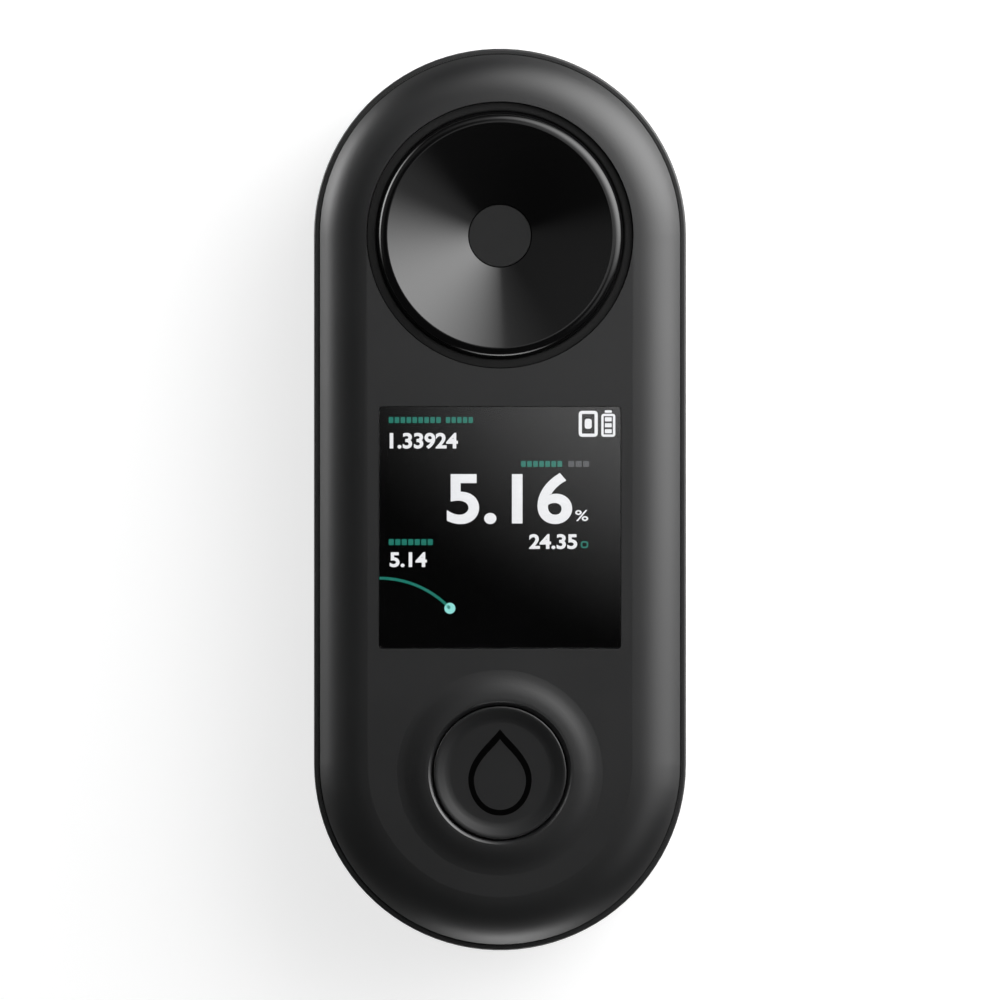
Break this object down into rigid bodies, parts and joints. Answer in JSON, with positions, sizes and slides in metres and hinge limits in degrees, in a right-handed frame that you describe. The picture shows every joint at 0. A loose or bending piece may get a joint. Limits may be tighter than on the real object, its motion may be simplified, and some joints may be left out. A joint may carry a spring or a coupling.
{
  "type": "digital refractometer",
  "caption": "Pill-shaped pocket refractometer with a conical sample well and prism, a flush square display and a round push button in a raised collar.",
  "frame": {"origin": "centre of the bounding box's foot: the middle of the flat back that the object lies on", "axes": "+Z out of the face, +Y along the body towards the sample well, +X to the right when the face is looked at with the well at the top"},
  "size_m": [0.0428, 0.1034, 0.0201],
  "materials": {
    "case_black": "moulded, fine-textured satin black",
    "dish_black": "polished black, chemical resistant",
    "button_black": "satin black",
    "seal_rubber": "matt black",
    "membrane_rubber": "matt silicone",
    "prism_glass": "polished, fine-ground face",
    "window_glass": "smoked, polished",
    "lens_glass": "polished",
    "frame_plastic": "moulded, matt",
    "optics_plastic": "moulded, light-absorbing matt",
    "connector_plastic": "moulded, cream",
    "screw_steel": "plain machine steel",
    "black_steel": "black oxide",
    "spring_steel": "bright spring strip",
    "socket_steel": "nickel plated",
    "shield_steel": "drawn, tinned",
    "board_green": "glass-fibre laminate with solder mask",
    "chip_black": "moulded package",
    "ribbon_amber": "polyimide film",
    "panel_glass": "display glass",
    "adhesive_black": "foam tape",
    "lamp_resin": "clear amber resin",
    "cell_foil": "soft pouch foil",
    "foam_grey": "closed-cell foam",
    "lead_red": "insulated wire",
    "probe_steel": "steel capsule",
    "chip_ceramic": "fired"
  },
  "bodies": {
    "housing": {"front_cover": "case_black", "rear_cover": "case_black", "housing_seal": "seal_rubber", "case_screws": "black_steel", "sample_dish": "dish_black", "dish_seal": "seal_rubber", "dish_clamp_ring": "screw_steel", "dish_clamp_screws": "screw_steel", "prism": "prism_glass", "prism_seal": "seal_rubber", "optics_block": "optics_plastic", "optics_screws": "screw_steel", "condenser_lens": "lens_glass", "imaging_lens": "lens_glass", "lamp": "lamp_resin", "line_sensor": "chip_black", "lamp_board": "board_green", "sensor_board": "board_green", "path_board_screws": "screw_steel", "temperature_probe": "probe_steel", "display_window": "window_glass", "window_adhesive": "adhesive_black", "display_panel": "panel_glass", "display_frame": "frame_plastic", "board_screws": "screw_steel", "display_ribbon": "ribbon_amber", "button_membrane": "membrane_rubber", "switch_body": "frame_plastic", "snap_dome": "spring_steel", "main_board": "board_green", "processor": "chip_black", "radio_module": "shield_steel", "charge_controller": "chip_black", "charging_coil": "chip_black", "display_connector": "connector_plastic", "sensor_connector": "connector_plastic", "lamp_connector": "connector_plastic", "battery_connector": "connector_plastic", "buzzer": "frame_plastic", "chip_components": "chip_ceramic", "sensor_ribbon": "ribbon_amber", "battery": "cell_foil", "battery_pad": "foam_grey", "socket_shell": "socket_steel", "socket_tongue": "frame_plastic", "socket_seal": "seal_rubber", "battery_leads": "lead_red", "lamp_leads": "lead_red"},
    "button": {"button_cap": "button_black"},
    "plunger": {"switch_plunger": "connector_plastic"}
  },
  "joints": [
    {"name": "button_press", "type": "slide", "parent": "housing", "child": "button", "axis": [0, 0, -1], "range_m": [0, 0.00035], "stiffness_N_per_m": 2500, "springref_m": -0.0003, "deforming": ["button_membrane", "snap_dome"]},
    {"name": "plunger_press", "type": "slide", "parent": "housing", "child": "plunger", "axis": [0, 0, -1], "range_m": [0, 0.00035]}
  ],
  "couplings": [
    {"joint": "plunger_press", "follows": "button_press", "ratio": 1}
  ]
}
